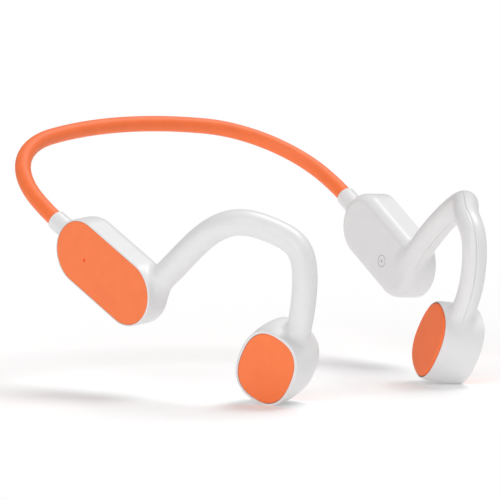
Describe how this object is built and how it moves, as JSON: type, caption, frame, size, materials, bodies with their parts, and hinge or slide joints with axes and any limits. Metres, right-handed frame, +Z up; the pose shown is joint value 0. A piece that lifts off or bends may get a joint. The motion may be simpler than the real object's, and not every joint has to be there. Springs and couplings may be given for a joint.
{
  "type": "bone conduction headphones",
  "caption": "Open-ear headphones: a springy neckband, flat pods behind the ears, and tubular hooks over the ears to round vibrating pads on the cheekbones.",
  "frame": {"origin": "below the middle of the headphones, at the height of the lowest points, which are the lower edges of the two transducers", "axes": "+X to the wearer's left, +Y to the back of the wearer's head, +Z up; the two units mirror each other about X = 0"},
  "size_m": [0.1392, 0.1496, 0.085],
  "materials": {
    "white_plastic": "smooth satin gloss",
    "orange_plastic": "fine matte",
    "orange_silicone": "soft matte silicone",
    "white_silicone": "soft matte silicone",
    "gasket_foam": "matte foam",
    "spring_steel": "bright drawn metal",
    "plated_steel": "nickel plated",
    "cable_jacket": "matte jacket",
    "magnet": "nickel plated, dull",
    "copper_wire": "enamelled winding",
    "circuit_board": "solder mask",
    "black_plastic": "moulded",
    "gold_plate": "plated can",
    "battery_wrap": "laminated pouch"
  },
  "bodies": {
    "neckband": {"sleeve_back": "orange_silicone", "left_sleeve_bend": "orange_silicone", "right_sleeve_bend": "orange_silicone", "band_wire": "spring_steel", "band_cable": "cable_jacket"},
    "left_unit": {"left_sleeve_side": "orange_silicone", "left_collar": "white_plastic", "left_pod_housing": "white_plastic", "left_pod_gasket": "gasket_foam", "left_pod_cover": "orange_plastic", "left_hook_outer_shell": "white_plastic", "left_hook_inner_shell": "white_plastic", "left_hook_wire": "spring_steel", "left_hook_cable": "cable_jacket", "left_transducer_housing": "white_plastic", "left_transducer_cap": "orange_plastic", "left_yoke": "plated_steel", "left_magnet": "magnet", "left_pole_plate": "plated_steel", "left_spring_plate": "spring_steel", "battery": "battery_wrap", "charge_board": "circuit_board", "charge_board_screws": "plated_steel", "usb_receptacle": "plated_steel"},
    "right_unit": {"right_sleeve_side": "orange_silicone", "right_collar": "white_plastic", "right_pod_housing": "white_plastic", "right_pod_gasket": "gasket_foam", "right_pod_cover": "orange_plastic", "right_hook_outer_shell": "white_plastic", "right_hook_inner_shell": "white_plastic", "right_hook_wire": "spring_steel", "right_hook_cable": "cable_jacket", "right_transducer_housing": "white_plastic", "right_transducer_cap": "orange_plastic", "right_yoke": "plated_steel", "right_magnet": "magnet", "right_pole_plate": "plated_steel", "right_spring_plate": "spring_steel", "main_board": "circuit_board", "main_board_screws": "plated_steel", "bluetooth_module": "plated_steel", "microphone": "gold_plate", "microphone_boot": "cable_jacket", "button_board": "circuit_board", "button_switches": "black_plastic"},
    "left_driver": {"left_voice_coil": "copper_wire", "left_vibration_plate": "white_plastic", "left_vibration_pad": "orange_silicone"},
    "right_driver": {"right_voice_coil": "copper_wire", "right_vibration_plate": "white_plastic", "right_vibration_pad": "orange_silicone"},
    "volume_down_key": {"volume_down_button": "white_plastic"},
    "power_key": {"power_button": "white_plastic"},
    "volume_up_key": {"volume_up_button": "white_plastic"},
    "flap": {"port_flap": "white_silicone"}
  },
  "joints": [
    {"name": "left_band_flex", "type": "hinge", "parent": "neckband", "child": "left_unit", "pos_m": [0.05524, 0.05727, 0.07381], "axis": [0, -0.4965, 0.8681], "range_deg": [-3, 18], "stiffness_Nm_per_rad": 0.35, "deforming": ["left_sleeve_bend", "band_wire", "band_cable"]},
    {"name": "right_band_flex", "type": "hinge", "parent": "neckband", "child": "right_unit", "pos_m": [-0.05524, 0.05727, 0.07381], "axis": [0, 0.4965, -0.8681], "range_deg": [-3, 18], "stiffness_Nm_per_rad": 0.35, "deforming": ["right_sleeve_bend", "band_wire", "band_cable"]},
    {"name": "left_vibration", "type": "slide", "parent": "left_unit", "child": "left_driver", "axis": [0.9264, -0.3172, -0.2028], "range_m": [-0.0002, 0.0002], "stiffness_N_per_m": 1800, "deforming": ["left_spring_plate"]},
    {"name": "right_vibration", "type": "slide", "parent": "right_unit", "child": "right_driver", "axis": [-0.9264, -0.3172, -0.2028], "range_m": [-0.0002, 0.0002], "stiffness_N_per_m": 1800, "deforming": ["right_spring_plate"]},
    {"name": "volume_down_press", "type": "slide", "parent": "right_unit", "child": "volume_down_key", "axis": [-0.0089, -0.4974, 0.8675], "range_m": [0, 0.0004], "stiffness_N_per_m": 2500},
    {"name": "power_press", "type": "slide", "parent": "right_unit", "child": "power_key", "axis": [-0.0089, -0.4974, 0.8675], "range_m": [0, 0.0004], "stiffness_N_per_m": 2500},
    {"name": "volume_up_press", "type": "slide", "parent": "right_unit", "child": "volume_up_key", "axis": [-0.0089, -0.4974, 0.8675], "range_m": [0, 0.0004], "stiffness_N_per_m": 2500},
    {"name": "port_flap_hinge", "type": "hinge", "parent": "left_unit", "child": "flap", "pos_m": [0.06282, 0.0106, 0.03438], "axis": [0.9926, -0.1008, -0.068], "range_deg": [0, 100], "stiffness_Nm_per_rad": 0.0008}
  ]
}
